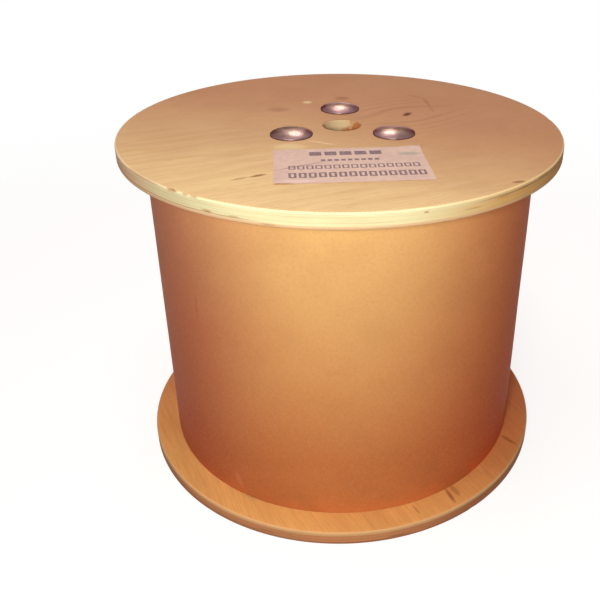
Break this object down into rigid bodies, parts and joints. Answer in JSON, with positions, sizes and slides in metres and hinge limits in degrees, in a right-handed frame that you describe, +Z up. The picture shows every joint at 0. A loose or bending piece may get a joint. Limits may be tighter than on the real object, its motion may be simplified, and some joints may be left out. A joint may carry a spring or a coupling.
{
  "type": "wooden cable drum",
  "caption": "Plywood cable drum full of cable, standing on one flange, with a kraft board wrap, a plain arbor hole, domed tie bolts and a paper label.",
  "frame": {"origin": "centre of the lower flange's underside, on the drum's axis, where it stands", "axes": "+Z up along the drum's axis; -Y is the front, where the label reads upright; +X is to the right"},
  "size_m": [0.35, 0.35, 0.2825],
  "materials": {
    "plywood": "bare sanded plywood, pale yellow brown",
    "paperboard_tube": "bare spiral-wound paperboard",
    "cable_jacket": "matte black cable jacket",
    "kraft_board": "smooth brown kraft board",
    "zinc_steel": "zinc-plated steel",
    "label_paper": "matte paper, ruled in plain boxes, no words"
  },
  "bodies": {
    "root": {"upper_flange": "plywood", "lower_flange": "plywood", "barrel": "paperboard_tube", "cable_winding": "cable_jacket", "wrap": "kraft_board", "tie_bolt_1": "zinc_steel", "tie_bolt_2": "zinc_steel", "tie_bolt_3": "zinc_steel", "washer_1": "zinc_steel", "washer_2": "zinc_steel", "washer_3": "zinc_steel", "nut_1": "zinc_steel", "nut_2": "zinc_steel", "nut_3": "zinc_steel", "label": "label_paper"}
  },
  "joints": []
}
